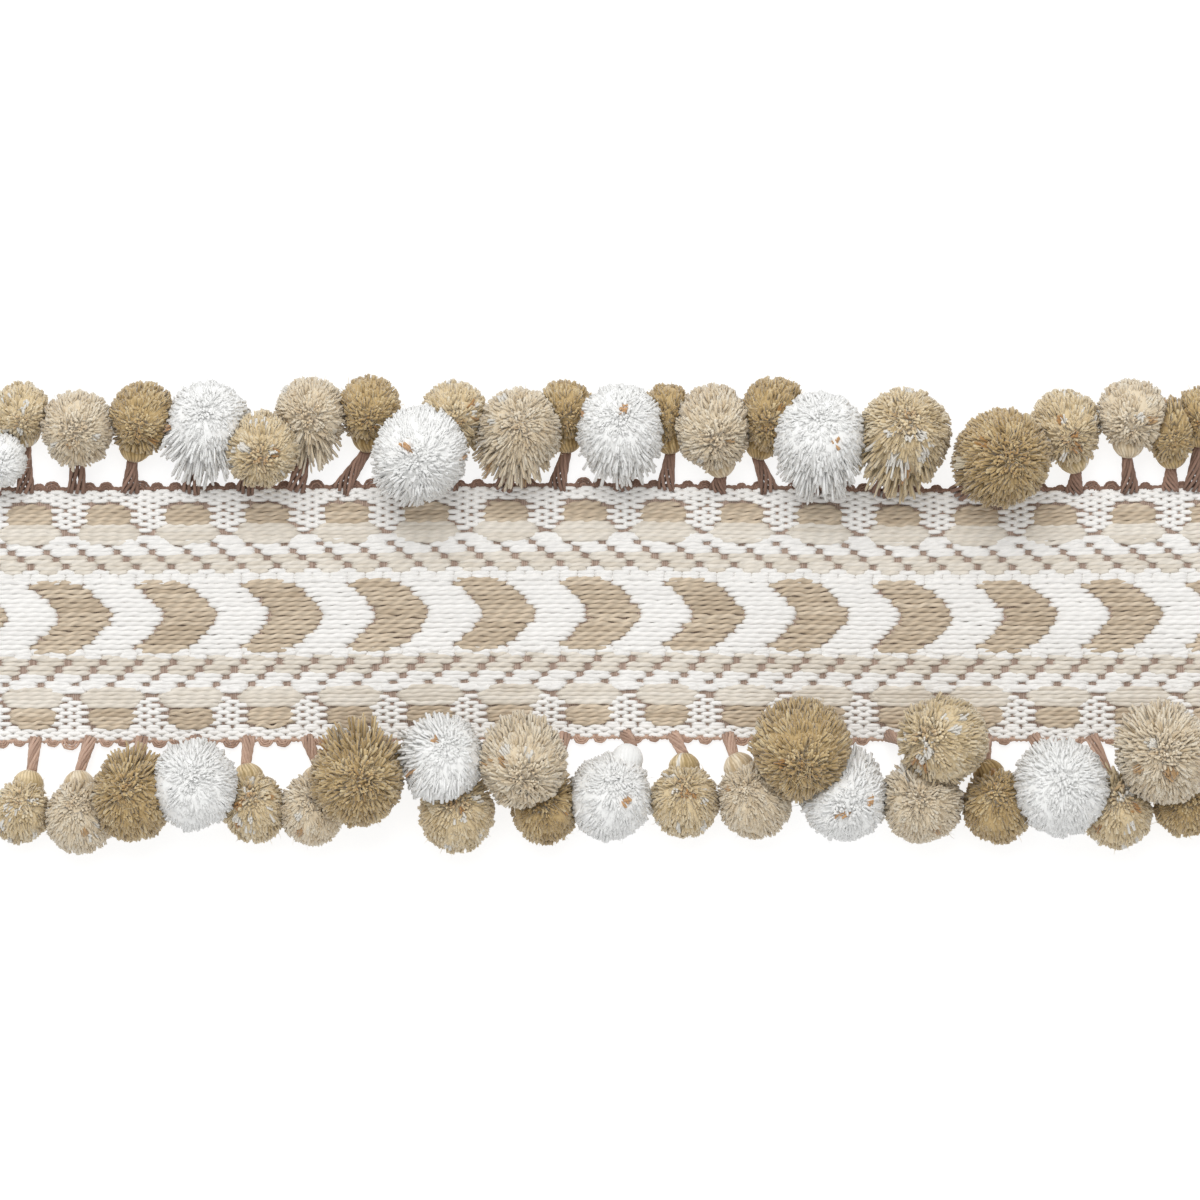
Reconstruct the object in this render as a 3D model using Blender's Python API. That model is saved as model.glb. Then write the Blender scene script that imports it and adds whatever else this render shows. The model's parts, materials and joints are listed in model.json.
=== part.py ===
# Pompom fringe trim: a cut length of wide woven tape that lies flat, with a comb of picots and hanger loops
# along both long edges and a row of pompom tassels on each comb.
# Frame: +X along the trim, +Y across it, +Z up, away from the surface that it lies on.
# The origin is the centre of the tape's underside, which is the face that is sewn or glued down.

import math

import bmesh
import bpy
from mathutils import Vector
from mathutils.bvhtree import BVHTree

MM = 0.001

# The tape
TAPE_LENGTH = 300.0 * MM
TAPE_THICKNESS = 2.0 * MM
TAPE_BAYS = 24

# The tape's edges wander a little: place along the trim and how far out each edge lies, in millimetres.
EDGE_COLUMNS = ("along", "top", "bottom")
EDGE_ROWS = (
    (-150.0, 29.5, -30.4),
    (-110.0, 29.7, -30.3),
    (-70.0, 30.1, -30.0),
    (-30.0, 30.5, -29.5),
    (0.0, 30.6, -29.3),
    (40.0, 30.0, -29.7),
    (72.0, 29.2, -29.9),
    (96.0, 29.4, -29.9),
    (126.0, 29.9, -30.0),
    (150.0, 30.4, -30.1),
)

# The two combs: a gathered edge with small picot humps, and one hanger loop for each tassel
OUTWARD = {"top": 1.0, "bottom": -1.0}
GAP = 0.3 * MM
COMB_THICKNESS = 1.6 * MM
EDGE_DEPTH = 0.7 * MM
PICOT_HEIGHT = 1.3 * MM
PICOT_PITCH = 4.23 * MM
PICOT_POINTS = 3
HANGER_ROOT_WIDTH = 3.8 * MM
HANGER_TIP_WIDTH = 2.6 * MM
HANGER_SLOPE = 0.15
HANGER_SHORTEST = 2.6 * MM
HANGER_CLEARANCE = 0.8 * MM
HANGER_LEAN = 0.9
PICOT_MARGIN = 0.5 * MM

# The tassels: a wound head and a ball of cut yarn, pressed flat by the surface and by their neighbours
HEAD_RADIUS = 3.8 * MM
SINK = 0.14
PRESS_GAP = 0.16 * MM
TASSEL_SIDES = 10
HEAD_TUCKED = 0.4

# x, y: centre of the cut ball.  radius: across the tassel's axis.  stretch: length along the axis over width.
# turn: the way that the tassel points in plan, degrees from +X.  rise: its tilt up from the surface, degrees.
# head: 1 where the head stands out of the ball, 0 where it is tucked inside.  bed: height of what the ball
# lies on.  hanger: where its loop leaves the tape.  Lengths are in millimetres.
TASSEL_COLUMNS = ("x", "y", "radius", "stretch", "turn", "rise", "head", "bed", "hanger", "yarn")
TOP_TASSELS = (
    (-143.4, 36.8, 6.6, 1.0, -90, 70, 0, 3.0, -146.0, "white"),
    (-138.4, 48.8, 6.8, 1.0, 95, 25, 1, 0.0, -138.0, "speckled"),
    (-125.0, 44.6, 9.0, 1.0, -90, 76, 0, 0.0, -125.6, "beige"),
    (-109.3, 47.5, 8.1, 1.0, 75, 20, 1, 0.0, -112.8, "olive"),
    (-93.4, 45.4, 10.2, 1.0, 80, 50, 0, 1.0, -98.5, "white"),
    (-80.8, 39.8, 9.2, 1.0, -90, 70, 0, 4.0, -85.5, "speckled"),
    (-69.4, 47.6, 9.0, 1.0, 85, 35, 0, 0.0, -73.0, "beige"),
    (-55.4, 49.6, 7.6, 1.0, 87, 20, 1, 0.0, -62.5, "olive"),
    (-42.6, 38.4, 11.4, 1.0, -100, 75, 0, 4.5, -49.0, "white"),
    (-35.0, 47.4, 8.2, 1.0, 90, 20, 0, 0.0, -36.3, "speckled"),
    (-18.9, 43.9, 10.3, 1.0, 80, 45, 0, 1.0, -23.3, "beige"),
    (-8.4, 48.8, 7.3, 1.0, 90, 20, 1, 0.0, -10.6, "olive"),
    (4.8, 44.2, 10.8, 1.0, 85, 50, 0, 1.0, 5.5, "white"),
    (16.2, 48.3, 6.8, 1.0, 95, 15, 1, 0.0, 15.6, "olive"),
    (26.9, 45.2, 9.8, 1.0, 101, 25, 1, 0.0, 28.0, "beige"),
    (42.0, 47.8, 8.9, 1.0, 70, 20, 1, 0.0, 40.8, "olive"),
    (52.1, 42.2, 11.2, 1.0, 90, 60, 0, 3.0, 52.5, "white"),
    (72.7, 42.8, 11.2, 1.0, 90, 50, 0, 1.0, 67.0, "speckled"),
    (96.0, 37.3, 11.8, 1.0, -12, 79, 0, 3.5, 85.5, "olive"),
    (111.2, 45.2, 8.6, 1.0, 105, 20, 1, 0.0, 113.8, "speckled"),
    (127.6, 48.2, 9.3, 0.8, 84, 10, 1, 0.0, 127.2, "beige"),
    (136.8, 45.0, 7.4, 1.0, 90, 30, 1, 0.0, 136.8, "olive"),
    (143.0, 47.4, 6.9, 1.0, 83, 10, 1, 0.0, 142.2, "olive"),
)
BOTTOM_TASSELS = (
    (-138.7, -48.0, 7.2, 1.0, -104, 20, 1, 0.0, -135.4, "speckled"),
    (-124.4, -49.2, 8.4, 1.0, -90, 20, 1, 0.0, -122.2, "beige"),
    (-111.2, -44.2, 10.6, 1.0, 113, 72, 0, 1.0, -110.0, "olive"),
    (-97.4, -41.2, 10.8, 1.0, 90, 75, 0, 3.0, -97.0, "white"),
    (-82.5, -47.0, 7.9, 1.0, -77, 20, 1, 0.0, -84.2, "speckled"),
    (-68.8, -47.4, 8.2, 1.0, -100, 25, 1, 0.0, -70.6, "beige"),
    (-58.2, -39.7, 11.4, 1.0, -5, 80, 0, 4.0, -57.0, "olive"),
    (-37.0, -36.2, 9.2, 1.35, -99, 15, 0, 4.5, -44.4, "white"),
    (-34.4, -47.6, 9.3, 1.0, -90, 25, 0, 0.0, -31.5, "speckled"),
    (-18.0, -36.2, 10.3, 1.2, 100, 10, 0, 4.5, -19.0, "beige"),
    (-13.2, -46.4, 8.6, 1.0, -80, 20, 0, 0.0, -8.2, "olive"),
    (2.2, -44.2, 10.2, 1.0, -114, 5, 1, 0.0, 6.0, "white"),
    (20.2, -45.4, 8.4, 1.0, -90, 15, 1, 0.0, 17.4, "speckled"),
    (37.2, -45.0, 9.0, 1.0, -66, 15, 1, 0.0, 30.6, "beige"),
    (48.6, -32.8, 11.8, 1.08, 90, 10, 0, 4.5, 43.5, "olive"),
    (58.1, -43.2, 11.0, 1.0, -60, 45, 0, 0.0, 56.5, "white"),
    (77.0, -44.6, 10.2, 1.0, 135, 78, 0, 0.0, 76.0, "beige"),
    (82.3, -30.4, 11.8, 0.68, 0, 20, 1, 4.0, 69.0, "speckled"),
    (95.5, -46.4, 8.7, 1.0, -76, 15, 1, 0.0, 92.6, "olive"),
    (110.4, -41.8, 11.7, 1.0, 90, 75, 0, 2.6, 104.0, "white"),
    (123.1, -47.0, 9.2, 1.0, -90, 25, 0, 0.0, 118.0, "speckled"),
    (134.6, -33.9, 12.0, 1.0, 160, 80, 0, 4.5, 132.0, "beige"),
    (140.0, -45.4, 7.9, 1.0, -90, 20, 0, 0.0, 146.0, "olive"),
)

# Yarn and thread colours (linear), roughness
FINISHES = {
    "tape": ((0.70, 0.64, 0.56), 0.85),
    "thread": ((0.30, 0.16, 0.11), 0.8),
    "white": ((0.84, 0.83, 0.81), 0.9),
    "beige": ((0.60, 0.51, 0.37), 0.9),
    "olive": ((0.44, 0.34, 0.18), 0.9),
    "speckled": ((0.50, 0.36, 0.20), 0.9),
}


def clear_scene():
    for item in list(bpy.data.objects):
        bpy.data.objects.remove(item, do_unlink=True)


def finish_for(name):
    material = bpy.data.materials.get(name)
    if material:
        return material
    colour, roughness = FINISHES[name]
    material = bpy.data.materials.new(name)
    material.use_nodes = True
    shader = material.node_tree.nodes["Principled BSDF"]
    shader.inputs["Base Color"].default_value = (*colour, 1.0)
    shader.inputs["Roughness"].default_value = roughness
    shader.inputs["Metallic"].default_value = 0.0
    material.diffuse_color = (*colour, 1.0)
    return material


def add_piece(name, shape, finish):
    """Puts a bmesh into the scene as one named object."""
    bmesh.ops.recalc_face_normals(shape, faces=shape.faces[:])
    mesh = bpy.data.meshes.new(name)
    shape.to_mesh(mesh)
    shape.free()
    mesh.materials.append(finish_for(finish))
    piece = bpy.data.objects.new(name, mesh)
    bpy.context.scene.collection.objects.link(piece)
    return piece


def edge_at(x, side):
    """How far out the tape's edge lies at a place along it, eased between the rows of the table."""
    column = EDGE_COLUMNS.index(side)
    along = x / MM
    for low, high in zip(EDGE_ROWS, EDGE_ROWS[1:]):
        if along <= high[0]:
            break
    part = min(max((along - low[0]) / (high[0] - low[0]), 0.0), 1.0)
    eased = part * part * (3.0 - 2.0 * part)
    return (low[column] + (high[column] - low[column]) * eased) * MM


def build_tape():
    """A flat sheet between its two wandering edges, cut square at both ends."""
    shape = bmesh.new()
    sections = []
    for bay in range(TAPE_BAYS + 1):
        x = TAPE_LENGTH * (bay / TAPE_BAYS - 0.5)
        bottom = edge_at(x, "bottom")
        top = edge_at(x, "top")
        corners = ((bottom, 0.0), (top, 0.0), (top, TAPE_THICKNESS), (bottom, TAPE_THICKNESS))
        sections.append([shape.verts.new((x, y, z)) for y, z in corners])
    for near, far in zip(sections, sections[1:]):
        for a in range(4):
            b = (a + 1) % 4
            shape.faces.new((near[a], near[b], far[b], far[a]))
    shape.faces.new(sections[0])
    shape.faces.new(sections[-1])
    add_piece("tape", shape, "tape")


def read_tassels(side, rows):
    """Turns a table's rows into tassels with lengths in metres and a direction."""
    tassels = []
    for number, row in enumerate(rows, start=1):
        tassel = dict(zip(TASSEL_COLUMNS, row))
        radius = tassel["radius"] * MM
        turn = math.radians(tassel["turn"])
        rise = math.radians(tassel["rise"])
        lying = math.cos(rise)
        axis = Vector((math.cos(turn) * lying, math.sin(turn) * lying, math.sin(rise)))
        height = radius * math.sqrt(1.0 + (tassel["stretch"] ** 2 - 1.0) * axis.z ** 2)
        shown = HEAD_TUCKED + (1.0 - HEAD_TUCKED) * tassel["head"]
        tassel.update(
            name=f"tassel_{side}_{number:02d}",
            side=side,
            radius=radius,
            axis=axis,
            centre=Vector((tassel["x"] * MM, tassel["y"] * MM, tassel["bed"] * MM + height * (1.0 - SINK))),
            neck=radius * tassel["stretch"] * shown,
            bed=tassel["bed"] * MM,
            hanger=tassel["hanger"] * MM,
        )
        tassels.append(tassel)
    return tassels


def pressing_planes(tassel, others):
    """The flats where a tassel meets its neighbours: for each pair of balls, the plane of the circle in which
    they would cross, half a gap back on each side."""
    planes = []
    for other in others:
        if other is tassel:
            continue
        between = other["centre"] - tassel["centre"]
        apart = between.length
        reach = tassel["radius"] + other["radius"] + 2.0 * HEAD_RADIUS
        if apart > reach + tassel["neck"]:
            continue
        share = (apart * apart + tassel["radius"] ** 2 - other["radius"] ** 2) / (2.0 * apart)
        planes.append((between / apart, share - PRESS_GAP))
    planes.append((Vector((0.0, 0.0, -1.0)), tassel["centre"].z - tassel["bed"]))
    return planes


def profile_at(tassel, angle):
    """Distance from the ball's centre to its skin, at an angle from the way to the head: the farther of an
    ellipsoid about the axis and the ball of the head."""
    radius = tassel["radius"]
    along = radius * tassel["stretch"]
    skirt = 1.0 / math.sqrt((math.cos(angle) / along) ** 2 + (math.sin(angle) / radius) ** 2)
    offset = tassel["neck"] * math.sin(angle)
    head = 0.0
    if angle < math.pi / 2 and offset < HEAD_RADIUS:
        head = tassel["neck"] * math.cos(angle) + math.sqrt(HEAD_RADIUS ** 2 - offset ** 2)
    return max(skirt, head)


def ring_angles(tassel):
    """Rings from the head to the far end: close together over a head that shows, and even over the ball."""
    if profile_at(tassel, 0.0) <= tassel["radius"] * tassel["stretch"] * 1.02:
        return [math.radians(a) for a in (24, 48, 72, 96, 120, 144, 166)]
    shoulder = math.asin(min(HEAD_RADIUS / tassel["neck"], 1.0))
    return [shoulder * 0.5, shoulder * 0.92] + [math.radians(a) for a in (40, 63, 87, 112, 137, 161)]


def build_tassel(tassel, others):
    """A turned form about the tassel's axis, with each point drawn in to the flats that it would pass."""
    planes = pressing_planes(tassel, others)
    axis = tassel["axis"]
    across = axis.orthogonal().normalized()
    beyond = axis.cross(across)
    shape = bmesh.new()

    def place(angle, turn):
        spread = across * math.cos(turn) + beyond * math.sin(turn)
        way = spread * math.sin(angle) - axis * math.cos(angle)
        distance = profile_at(tassel, angle)
        for normal, limit in planes:
            facing = way.dot(normal)
            if facing > 1e-6:
                distance = min(distance, limit / facing)
        return shape.verts.new(tassel["centre"] + way * distance)

    head_tip = place(0.0, 0.0)
    rings = []
    for angle in ring_angles(tassel):
        turns = [math.tau * side / TASSEL_SIDES for side in range(TASSEL_SIDES)]
        rings.append([place(angle, turn) for turn in turns])
    far_tip = place(math.pi, 0.0)
    for side in range(TASSEL_SIDES):
        beside = (side + 1) % TASSEL_SIDES
        shape.faces.new((head_tip, rings[0][side], rings[0][beside]))
        for inner, outer in zip(rings, rings[1:]):
            shape.faces.new((inner[side], outer[side], outer[beside], inner[beside]))
        shape.faces.new((far_tip, rings[-1][beside], rings[-1][side]))
    bmesh.ops.triangulate(shape, faces=shape.faces[:])
    tassel["skin"] = BVHTree.FromBMesh(shape)
    add_piece(tassel["name"], shape, tassel["yarn"])


def hanger_tip(tassel, tassels):
    """Where a hanger ends: on the way to its head, just short of the first tassel in its path."""
    side = tassel["side"]
    outward = OUTWARD[side]
    root = Vector((tassel["hanger"], edge_at(tassel["hanger"], side) + outward * (GAP + EDGE_DEPTH), 0.0))
    head = tassel["centre"] - tassel["axis"] * tassel["neck"]
    out = max((head.y - root.y) * outward, HANGER_SHORTEST)
    lean = max(-HANGER_LEAN, min(HANGER_LEAN, (head.x - root.x) / out))
    if (head.y - root.y) * outward < HANGER_SHORTEST:
        lean = 0.0
    way = Vector((lean * out, outward * out, 0.0))
    length = way.length
    way.normalize()
    climb = Vector((way.x, way.y, HANGER_SLOPE)).normalized()
    beside = Vector((-way.y, way.x, 0.0)) * (HANGER_TIP_WIDTH / 2)
    for start in (root + beside, root - beside, root):
        for height in (0.0, COMB_THICKNESS):
            for other in tassels:
                place = start + Vector((0.0, 0.0, height))
                hit = other["skin"].ray_cast(place, climb, length + HEAD_RADIUS)
                if hit[0] is not None:
                    length = min(length, hit[3] - HANGER_CLEARANCE)
    return root + way * max(length, HANGER_SHORTEST / 2)


def comb_outline(side, tassels):
    """The comb's outer line in plan, from one end to the other: picot humps, and a tongue for each hanger."""
    outward = OUTWARD[side]
    half_root = HANGER_ROOT_WIDTH / 2
    half_tip = HANGER_TIP_WIDTH / 2

    def foot(x):
        return edge_at(x, side) + outward * (GAP + EDGE_DEPTH)

    stretches = []
    taken = []
    for tassel in tassels:
        at = tassel["hanger"]
        tip = hanger_tip(tassel, tassels)
        lean = (tip.x - at) / abs(tip.y - foot(at)) * PICOT_HEIGHT
        margin = half_root + PICOT_MARGIN
        taken.append((at - margin + min(lean, 0.0), at + margin + max(lean, 0.0)))
        stretches.append((at, [
            (at - half_root, foot(at - half_root)),
            (tip.x - half_tip, tip.y),
            (tip.x + half_tip, tip.y),
            (at + half_root, foot(at + half_root)),
        ]))
    steps = round(TAPE_LENGTH / PICOT_PITCH) * PICOT_POINTS
    for step in range(steps + 1):
        x = TAPE_LENGTH * (step / steps - 0.5)
        if not any(low < x < high for low, high in taken):
            hump = math.sin(math.pi * (step % PICOT_POINTS) / PICOT_POINTS)
            stretches.append((x, [(x, foot(x) + outward * PICOT_HEIGHT * hump)]))
    stretches.sort(key=lambda stretch: stretch[0])
    return [point for _, points in stretches for point in points]


def build_comb(side, tassels):
    """One flat comb along an edge, whose hangers climb a little towards the heads."""
    outward = OUTWARD[side]
    outer = comb_outline(side, tassels)
    inner = []
    for bay in range(TAPE_BAYS + 1):
        x = TAPE_LENGTH * (0.5 - bay / TAPE_BAYS)
        inner.append((x, edge_at(x, side) + outward * GAP))
    shape = bmesh.new()
    floor = [shape.verts.new((x, y, 0.0)) for x, y in outer + inner]
    base = shape.faces.new(floor)
    shape.normal_update()
    raised = bmesh.ops.extrude_face_region(shape, geom=[base])
    tops = [item for item in raised["geom"] if isinstance(item, bmesh.types.BMVert)]
    bmesh.ops.translate(shape, verts=tops, vec=(0.0, 0.0, COMB_THICKNESS))
    bmesh.ops.triangulate(shape, faces=shape.faces[:], ngon_method="EAR_CLIP")
    picots = EDGE_DEPTH + PICOT_HEIGHT + GAP
    for vert in shape.verts:
        past = outward * (vert.co.y - edge_at(vert.co.x, side)) - picots
        vert.co.z += HANGER_SLOPE * max(past, 0.0)
    add_piece(f"comb_{side}", shape, "thread")


def main():
    clear_scene()
    build_tape()
    top = read_tassels("top", TOP_TASSELS)
    bottom = read_tassels("bottom", BOTTOM_TASSELS)
    for row in (top, bottom):
        for tassel in row:
            build_tassel(tassel, row)
    build_comb("top", top)
    build_comb("bottom", bottom)


main()
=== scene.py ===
import json
import math

import bpy
import numpy as np
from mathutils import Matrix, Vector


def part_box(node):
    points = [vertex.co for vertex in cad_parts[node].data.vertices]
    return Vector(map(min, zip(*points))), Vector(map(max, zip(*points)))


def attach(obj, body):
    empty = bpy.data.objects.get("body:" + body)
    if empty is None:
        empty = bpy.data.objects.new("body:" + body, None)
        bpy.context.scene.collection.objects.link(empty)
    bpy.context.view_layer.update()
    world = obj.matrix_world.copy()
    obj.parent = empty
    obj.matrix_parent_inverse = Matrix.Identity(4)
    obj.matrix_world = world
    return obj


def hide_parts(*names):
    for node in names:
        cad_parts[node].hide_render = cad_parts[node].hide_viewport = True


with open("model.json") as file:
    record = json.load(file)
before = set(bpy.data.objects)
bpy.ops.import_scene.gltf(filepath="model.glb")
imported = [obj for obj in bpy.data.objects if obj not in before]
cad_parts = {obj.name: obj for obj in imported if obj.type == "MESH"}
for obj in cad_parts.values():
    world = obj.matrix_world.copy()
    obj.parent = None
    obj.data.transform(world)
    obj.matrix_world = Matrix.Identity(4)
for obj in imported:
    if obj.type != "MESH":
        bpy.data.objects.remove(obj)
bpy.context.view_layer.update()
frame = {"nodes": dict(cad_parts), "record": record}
mm = 0.001
chance = np.random.default_rng(23)
slotOf = {part["node"]: part["material_slot"] for part in frame["record"]["subparts"]}


# shapes: dictionaries of points, quads, tris and marks, where a mark is one number for each point

def unit(vectors):
    return vectors / np.maximum(np.linalg.norm(vectors, axis=-1, keepdims=True), 1e-12)


def squareTo(ahead, up=(0.0, 0.0, 1.0)):
    # two directions at right angles to a way and to each other
    side = unit(np.cross(ahead, np.broadcast_to(up, ahead.shape)))
    return side, np.cross(side, ahead)


def joined(shapes):
    # one shape of many, with each one's corners counted on from the points before it
    before = np.cumsum([0] + [len(s["points"]) for s in shapes])[:-1]
    whole = {"points": np.concatenate([s["points"] for s in shapes])}
    for kind in ("quads", "tris"):
        whole[kind] = np.concatenate([s[kind] + b for s, b in zip(shapes, before)])
    whole["marks"] = {
        key: np.concatenate([s["marks"][key] for s in shapes]) for key in shapes[0]["marks"]
    }
    return whole


def putPiece(name, shape, finish):
    mesh = bpy.data.meshes.new(name)
    corners = np.concatenate([shape["quads"].ravel(), shape["tris"].ravel()])
    sizes = np.repeat([4, 3], [len(shape["quads"]), len(shape["tris"])])
    mesh.vertices.add(len(shape["points"]))
    mesh.vertices.foreach_set("co", shape["points"].astype(np.float32).ravel())
    mesh.loops.add(len(corners))
    mesh.loops.foreach_set("vertex_index", corners.astype(np.int32))
    mesh.polygons.add(len(sizes))
    mesh.polygons.foreach_set("loop_start", (np.cumsum(sizes) - sizes).astype(np.int32))
    mesh.update(calc_edges=True)
    for key, values in shape["marks"].items():
        mark = mesh.attributes.new(key, "FLOAT", "POINT")
        mark.data.foreach_set("value", values.astype(np.float32))
    mesh.shade_smooth()
    mesh.materials.append(finish)
    piece = bpy.data.objects.new(name, mesh)
    bpy.context.scene.collection.objects.link(piece)
    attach(piece, "root")
    return piece


def tubes(paths, radii, sides, up=(0.0, 0.0, 1.0), lobes=0.0, turns=0.0, squash=1.0, pointed=False):
    # many tubes at once. Each ring lies round its path's point, at radius * (1 + lobes * cos(2 * (angle - turn))),
    # so that two lobes wind round the path as two plies do. A pointed tube ends in its path's last point.
    count, steps = paths.shape[:2]
    rings = steps - 1 if pointed else steps
    ahead = unit(np.gradient(paths, axis=1))
    side, above = squareTo(ahead, up)
    angles = 2 * math.pi * np.arange(sides) / sides
    winding = np.cos(2 * (angles - np.broadcast_to(turns, (count, steps))[..., None]))
    size = np.broadcast_to(radii, (count, steps))[..., None] * (1 + lobes * winding)
    ring = (
        paths[:, :, None]
        + side[:, :, None] * (size * np.cos(angles))[..., None]
        + above[:, :, None] * (size * np.sin(angles) * squash)[..., None]
    )[:, :rings]
    first = np.arange(count)[:, None, None] * rings * sides
    low = first + np.arange(rings - 1)[None, :, None] * sides + np.arange(sides)
    beside = first + np.arange(rings - 1)[None, :, None] * sides + (np.arange(sides) + 1) % sides
    quads = np.stack([low, low + sides, beside + sides, beside], axis=-1).reshape(-1, 4)
    body = ring.reshape(-1, 3)
    startRing = first[:, 0] + np.arange(sides)
    startNext = first[:, 0] + (np.arange(sides) + 1) % sides
    lift = (rings - 1) * sides
    endTip = np.broadcast_to(len(body) + np.arange(count)[:, None], startRing.shape)
    tris = [np.stack([startNext + lift, startRing + lift, endTip], axis=-1).reshape(-1, 3)]
    tips = [paths[:, -1]]
    if sides == 3:  # the near end of a three-sided tube is one face
        tris.append(startRing)
    else:
        tris.append(np.stack([startRing, startNext, endTip + count], axis=-1).reshape(-1, 3))
        tips.append(paths[:, 0])
    along = np.linspace(0, 1, steps)
    tubeOf = np.repeat(np.arange(count), rings * sides)
    return {
        "points": np.concatenate([body, *tips]),
        "quads": quads,
        "tris": np.concatenate(tris),
        "owner": np.concatenate([tubeOf, np.tile(np.arange(count), len(tips))]),
        "along": np.concatenate([
            np.broadcast_to(along[:rings, None], (count, rings, sides)).ravel(),
            np.repeat([1.0, 0.0][:len(tips)], count),
        ]),
        "groove": np.concatenate([winding[:, :rings].ravel(), np.zeros(len(tips) * count)]),
        "marks": {},
    }


def nodeFaces(name):
    # a node's loose triangles, as an array of faces by corners by coordinates
    mesh = frame["nodes"][name].data
    points = np.zeros(len(mesh.vertices) * 3)
    mesh.vertices.foreach_get("co", points)
    mesh.calc_loop_triangles()
    corners = np.zeros(len(mesh.loop_triangles) * 3, np.int32)
    mesh.loop_triangles.foreach_get("vertices", corners)
    return points.reshape(-1, 3)[corners].reshape(-1, 3, 3)


# finishes

class Wire:
    # a socket whose arithmetic adds Math nodes
    def __init__(self, finish, socket):
        self.finish = finish
        self.socket = socket

    def maths(self, operation, first, second=0.0):
        return self.finish.node("ShaderNodeMath", {"operation": operation}, {0: first, 1: second})

    def __add__(self, other):
        return self.maths("ADD", self, other)

    def __sub__(self, other):
        return self.maths("SUBTRACT", self, other)

    def __rsub__(self, other):
        return self.maths("SUBTRACT", other, self)

    def __mul__(self, other):
        return self.maths("MULTIPLY", self, other)

    __radd__ = __add__
    __rmul__ = __mul__


class Finish:
    def __init__(self, name, **fixed):
        self.material = bpy.data.materials.new(name)
        self.material.use_nodes = True
        self.tree = self.material.node_tree
        self.shader = self.tree.nodes["Principled BSDF"]
        for key, value in fixed.items():
            self.shader.inputs[key.replace("_", " ")].default_value = value

    def node(self, kind, settings=None, inputs=None, output=0):
        made = self.tree.nodes.new(kind)
        for key, value in (settings or {}).items():
            if key == "stops":
                ramp = made.color_ramp.elements
                while len(ramp) < len(value):
                    ramp.new(0.5)
                for stop, (place, colour) in zip(ramp, value):
                    stop.position = place
                    stop.color = (*colour, 1.0)
            else:
                setattr(made, key, value)
        for key, value in (inputs or {}).items():
            self.plug(made.inputs[key], value)
        return Wire(self, made.outputs[output])

    def plug(self, socket, value):
        if isinstance(value, Wire):
            self.tree.links.new(value.socket, socket)
        else:
            socket.default_value = value

    def mark(self, name):
        return self.node("ShaderNodeAttribute", {"attribute_name": name}, output="Fac")

    def noise(self, scale, detail=2.0, stretch=(1.0, 1.0, 1.0)):
        place = self.node("ShaderNodeTexCoord", output="Object")
        place = self.node("ShaderNodeMapping", {}, {"Vector": place, "Scale": stretch})
        return self.node("ShaderNodeTexNoise", {}, {"Vector": place, "Scale": scale, "Detail": detail})

    def mix(self, share, first, second):
        inputs = {0: share, 6: first, 7: second}
        return self.node("ShaderNodeMix", {"data_type": "RGBA"}, inputs, output=2)

    def shaded(self, colour, amount):
        # a colour times a number
        inputs = {0: colour, "Scale": amount}
        return self.node("ShaderNodeVectorMath", {"operation": "SCALE"}, inputs)

    def finished(self, colour, height, depth):
        self.plug(self.shader.inputs["Base Color"], colour)
        bump = self.node("ShaderNodeBump", {}, {"Height": height, "Distance": depth, "Strength": 0.8})
        self.plug(self.shader.inputs["Normal"], bump)
        return self.material


def wovenYarn(name, dark, light, grooveShade):
    # a plied yarn, from dark to light by 0.55 * tone + 0.45 * fibres + 0.5 * blotches - 0.25, and darker where its
    # plies meet: shade = 1 - grooveShade / 2 * (1 - groove)
    finish = Finish(name, Roughness=0.85, Sheen_Weight=0.15, Sheen_Roughness=0.5, IOR=1.3)
    fibres = finish.noise(2400.0, 3.0, (0.22, 1.0, 1.0))
    blotches = finish.noise(160.0, 1.0)
    share = finish.mark("tone") * 0.55 + fibres * 0.45 + blotches * 0.5 - 0.25
    colour = finish.mix(share, (*dark, 1.0), (*light, 1.0))
    ply = finish.mark("groove")
    colour = finish.shaded(colour, ply * (0.5 * grooveShade) + (1.0 - 0.5 * grooveShade))
    return finish.finished(colour, fibres, 0.00012)


def brownThread(name, dark, light):
    # from dark to light by 0.7 * tone + 0.5 * fibres - 0.1
    finish = Finish(name, Roughness=0.8, Sheen_Weight=0.1, IOR=1.35)
    fibres = finish.noise(2600.0, 3.0)
    share = finish.mark("tone") * 0.7 + fibres * 0.5 - 0.1
    colour = finish.mix(share, (*dark, 1.0), (*light, 1.0))
    return finish.finished(colour, fibres, 0.0001)


def cutYarn(name, yarn):
    # cut yarn: each strand has its own tone, its root is painted darker than its end as shade deep in the ball, and
    # some strands are flecks. Its colour goes from dark to light by 0.65 * tone + 0.4 * fibres + 0.25 * depth - 0.22
    finish = Finish(name, Roughness=0.95, Sheen_Weight=0.45, Sheen_Roughness=0.5, IOR=1.2)
    fibres = finish.noise(1800.0, 3.0)
    depth = finish.mark("depth")
    share = finish.mark("tone") * 0.65 + fibres * 0.4 + depth * 0.25 - 0.22
    stops = list(zip((0.05, 0.5, 0.95), (yarn["dark"], yarn["body"], yarn["light"])))
    colour = finish.node("ShaderNodeValToRGB", {"stops": stops}, {0: share})
    colour = finish.mix(finish.mark("pale"), colour, (*yarn["pale"], 1.0))
    # the rust mark carries both real rust flecks and the painted shade at the burst
    colour = finish.mix(finish.mark("rust"), colour, (*yarn["rust"], 1.0))
    # painted shade: where depth is low the colour is darkened by the yarn's rootShade
    colour = finish.mix(depth, finish.shaded(colour, yarn["rootShade"]), colour)
    return finish.finished(colour, fibres, 0.00015)


# the tape: its edges, and places on it

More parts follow.
